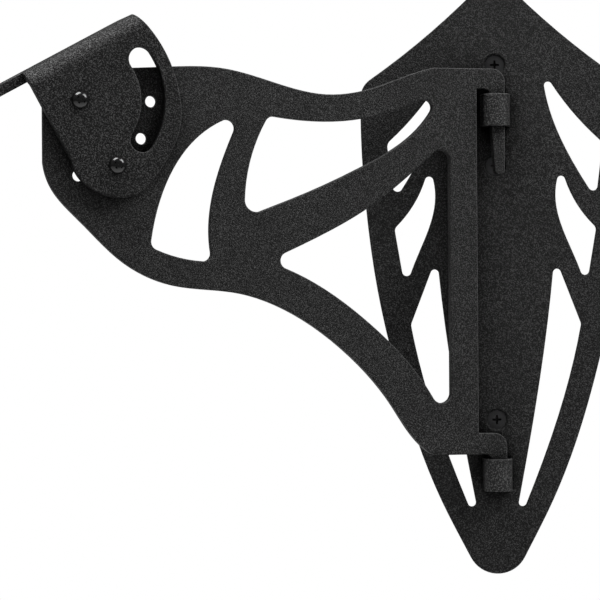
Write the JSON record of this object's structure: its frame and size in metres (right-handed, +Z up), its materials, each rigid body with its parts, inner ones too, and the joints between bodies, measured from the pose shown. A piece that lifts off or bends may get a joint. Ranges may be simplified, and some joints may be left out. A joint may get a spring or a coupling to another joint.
{
  "type": "bicycle wall rack",
  "caption": "Wall-mounted bicycle rack: pierced leaf-shaped plate, lift-off swing arm on barrel hinges and an angle-adjustable bent cradle at its end.",
  "frame": {"origin": "on the wall, on the wall plate's centreline, halfway between the two hinge barrels", "axes": "+X right along the wall, +Y into the wall, +Z up; the arm is stored swung 15 degrees out from the wall, to the left"},
  "size_m": [0.419, 0.1464, 0.3575],
  "materials": {
    "wall_coat": "fine-textured black powder coat",
    "arm_coat": "fine-textured black powder coat",
    "wall_screw": "satin black oxide",
    "machine_screw": "gloss black plated",
    "zinc": "bright zinc plated",
    "nylon": "black nylon"
  },
  "bodies": {
    "wall_mount": {"wall_plate": "wall_coat", "upper_barrel": "wall_coat", "upper_weld_left": "wall_coat", "upper_weld_right": "wall_coat", "lower_barrel": "wall_coat", "lower_weld_left": "wall_coat", "lower_weld_right": "wall_coat", "wall_screw_top": "wall_screw", "wall_screw_middle": "wall_screw", "wall_screw_bottom": "wall_screw"},
    "swing_arm": {"swing_arm": "arm_coat"},
    "cradle": {"cradle_bracket": "arm_coat", "pivot_screw": "machine_screw", "index_screw": "machine_screw", "pivot_spacer": "nylon", "index_spacer": "nylon", "pivot_washer": "zinc", "index_washer": "zinc", "pivot_locknut": "zinc", "index_locknut": "zinc", "pivot_locknut_insert": "nylon", "index_locknut_insert": "nylon"}
  },
  "joints": [
    {"name": "arm_swing", "type": "hinge", "parent": "wall_mount", "child": "swing_arm", "pos_m": [0, -0.0135, 0], "axis": [0, 0, 1], "range_deg": [-5, 160]},
    {"name": "cradle_tilt", "type": "hinge", "parent": "swing_arm", "child": "cradle", "pos_m": [-0.24766, -0.07986, 0.1129], "axis": [0.2588, -0.9659, 0], "range_deg": [-30, 60], "deforming": ["index_screw"]}
  ]
}
